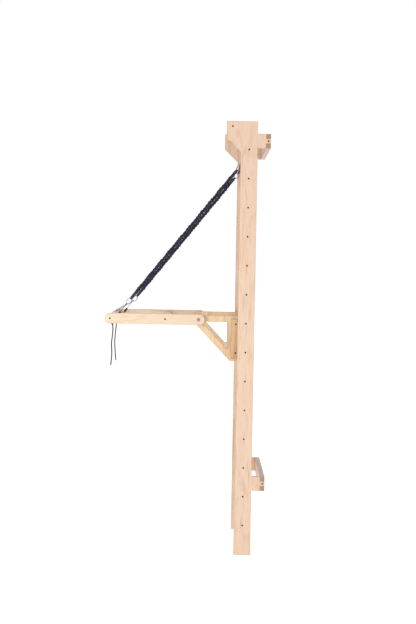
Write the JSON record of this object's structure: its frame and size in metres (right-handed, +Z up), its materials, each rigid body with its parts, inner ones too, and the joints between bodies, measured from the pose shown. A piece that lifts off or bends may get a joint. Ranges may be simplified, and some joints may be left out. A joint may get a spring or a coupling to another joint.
{
  "type": "wall bars with an elastic-assisted lever",
  "caption": "Plywood wall bars with dowel rungs, a pull-up rung, wall planks and a hooked bracket whose hinged lever frame hangs on elastic bands.",
  "frame": {"origin": "middle of the upper wall plank's back face, between its two wall screw holes", "axes": "+X to the right of someone facing the rungs, +Y into the wall, +Z up; the floor is at z = -2.1495 m"},
  "size_m": [0.8116, 0.8446, 2.25],
  "materials": {
    "birch_plywood": "satin clear varnish",
    "beech_dowel": "satin clear varnish",
    "black_screw": "black oxide",
    "zinc_plated_steel": "bright zinc plate",
    "ruched_sleeve": "gathered woven nylon",
    "webbing": "woven nylon tape",
    "braided_cord": "braided cord"
  },
  "bodies": {
    "frame": {"side_panel_left": "birch_plywood", "side_panel_right": "birch_plywood", "rung_01": "beech_dowel", "rung_02": "beech_dowel", "rung_03": "beech_dowel", "rung_04": "beech_dowel", "rung_05": "beech_dowel", "rung_06": "beech_dowel", "rung_07": "beech_dowel", "rung_08": "beech_dowel", "rung_09": "beech_dowel", "rung_10": "beech_dowel", "rung_11": "beech_dowel", "rung_12": "beech_dowel", "rung_13": "beech_dowel", "rung_14": "beech_dowel", "pull_up_rung": "beech_dowel", "wall_plank_upper": "birch_plywood", "wall_plank_lower": "birch_plywood", "rung_screws": "black_screw", "plank_screws": "black_screw", "bracket_plate_left": "birch_plywood", "bracket_plate_right": "birch_plywood", "bracket_hook_left": "birch_plywood", "bracket_hook_right": "birch_plywood", "bracket_rail_upper": "beech_dowel", "bracket_rail_lower": "beech_dowel", "bracket_screws": "black_screw", "pivot_bolts": "zinc_plated_steel", "pivot_spacers": "zinc_plated_steel", "pivot_washers": "zinc_plated_steel", "pivot_nuts": "zinc_plated_steel"},
    "lever": {"lever_bar_left": "birch_plywood", "lever_bar_right": "birch_plywood", "lever_tip_rung": "beech_dowel", "lever_middle_rung": "beech_dowel", "lever_screws": "black_screw"},
    "band_upper_left": {"top_sling_left": "braided_cord", "top_hook_left": "zinc_plated_steel", "upper_webbing_left": "webbing", "elastic_sleeve_left": "ruched_sleeve"},
    "band_lower_left": {"lower_webbing_left": "webbing", "bottom_hook_left": "zinc_plated_steel"},
    "top_gate_left": {"top_hook_gate_left": "zinc_plated_steel"},
    "bottom_gate_left": {"bottom_hook_gate_left": "zinc_plated_steel"},
    "cord_left": {"cord_loop_left": "braided_cord", "cord_whipping_left": "braided_cord"},
    "tail_left": {"cord_tail_left": "braided_cord"},
    "band_upper_right": {"top_sling_right": "braided_cord", "top_hook_right": "zinc_plated_steel", "upper_webbing_right": "webbing", "elastic_sleeve_right": "ruched_sleeve"},
    "band_lower_right": {"lower_webbing_right": "webbing", "bottom_hook_right": "zinc_plated_steel"},
    "top_gate_right": {"top_hook_gate_right": "zinc_plated_steel"},
    "bottom_gate_right": {"bottom_hook_gate_right": "zinc_plated_steel"},
    "cord_right": {"cord_loop_right": "braided_cord", "cord_whipping_right": "braided_cord"},
    "tail_right": {"cord_tail_right": "braided_cord"}
  },
  "joints": [
    {"name": "lever_pivot", "type": "hinge", "parent": "frame", "child": "lever", "pos_m": [0, -0.3581, -0.9285], "axis": [1, 0, 0], "range_deg": [-6, 55], "stiffness_Nm_per_rad": 45, "springref_deg": -6.88},
    {"name": "band_swing_left", "type": "hinge", "parent": "frame", "child": "band_upper_left", "pos_m": [-0.335, -0.1115, -0.0445], "axis": [1, 0, 0], "range_deg": [-3, 18]},
    {"name": "band_stretch_left", "type": "slide", "parent": "band_upper_left", "child": "band_lower_left", "axis": [0, -0.6238, -0.7816], "range_m": [-0.03, 0.24], "deforming": ["elastic_sleeve_left"]},
    {"name": "cord_swing_left", "type": "hinge", "parent": "lever", "child": "cord_left", "pos_m": [-0.335, -0.8171, -0.9285], "axis": [1, 0, 0], "range_deg": [-42, 6], "deforming": ["cord_loop_left"]},
    {"name": "tail_swing_left", "type": "hinge", "parent": "lever", "child": "tail_left", "pos_m": [-0.335, -0.8171, -0.9285], "axis": [1, 0, 0], "range_deg": [-56, 7]},
    {"name": "top_gate_swing_left", "type": "hinge", "parent": "band_upper_left", "child": "top_gate_left", "pos_m": [-0.335, -0.17482, -0.1393], "axis": [-1, 0, 0], "range_deg": [0, 22], "stiffness_Nm_per_rad": 0.01, "springref_deg": -11.46},
    {"name": "bottom_gate_swing_left", "type": "hinge", "parent": "band_lower_left", "child": "bottom_gate_left", "pos_m": [-0.335, -0.72216, -0.82503], "axis": [1, 0, 0], "range_deg": [0, 22], "stiffness_Nm_per_rad": 0.01, "springref_deg": -11.46},
    {"name": "band_swing_right", "type": "hinge", "parent": "frame", "child": "band_upper_right", "pos_m": [0.335, -0.1115, -0.0445], "axis": [1, 0, 0], "range_deg": [-3, 18]},
    {"name": "band_stretch_right", "type": "slide", "parent": "band_upper_right", "child": "band_lower_right", "axis": [0, -0.6238, -0.7816], "range_m": [-0.03, 0.24], "deforming": ["elastic_sleeve_right"]},
    {"name": "cord_swing_right", "type": "hinge", "parent": "lever", "child": "cord_right", "pos_m": [0.335, -0.8171, -0.9285], "axis": [1, 0, 0], "range_deg": [-42, 6], "deforming": ["cord_loop_right"]},
    {"name": "tail_swing_right", "type": "hinge", "parent": "lever", "child": "tail_right", "pos_m": [0.335, -0.8171, -0.9285], "axis": [1, 0, 0], "range_deg": [-56, 7]},
    {"name": "top_gate_swing_right", "type": "hinge", "parent": "band_upper_right", "child": "top_gate_right", "pos_m": [0.335, -0.17482, -0.1393], "axis": [-1, 0, 0], "range_deg": [0, 22], "stiffness_Nm_per_rad": 0.01, "springref_deg": -11.46},
    {"name": "bottom_gate_swing_right", "type": "hinge", "parent": "band_lower_right", "child": "bottom_gate_right", "pos_m": [0.335, -0.72216, -0.82503], "axis": [1, 0, 0], "range_deg": [0, 22], "stiffness_Nm_per_rad": 0.01, "springref_deg": -11.46}
  ],
  "couplings": [
    {"joint": "band_swing_left", "follows": "lever_pivot", "ratio": 0.30118},
    {"joint": "band_stretch_left", "follows": "lever_pivot", "m_per_rad": 0.23769},
    {"joint": "cord_swing_left", "follows": "lever_pivot", "ratio": -0.69881},
    {"joint": "tail_swing_left", "follows": "lever_pivot", "ratio": -1},
    {"joint": "band_swing_right", "follows": "lever_pivot", "ratio": 0.30118},
    {"joint": "band_stretch_right", "follows": "lever_pivot", "m_per_rad": 0.23769},
    {"joint": "cord_swing_right", "follows": "lever_pivot", "ratio": -0.69881},
    {"joint": "tail_swing_right", "follows": "lever_pivot", "ratio": -1}
  ]
}
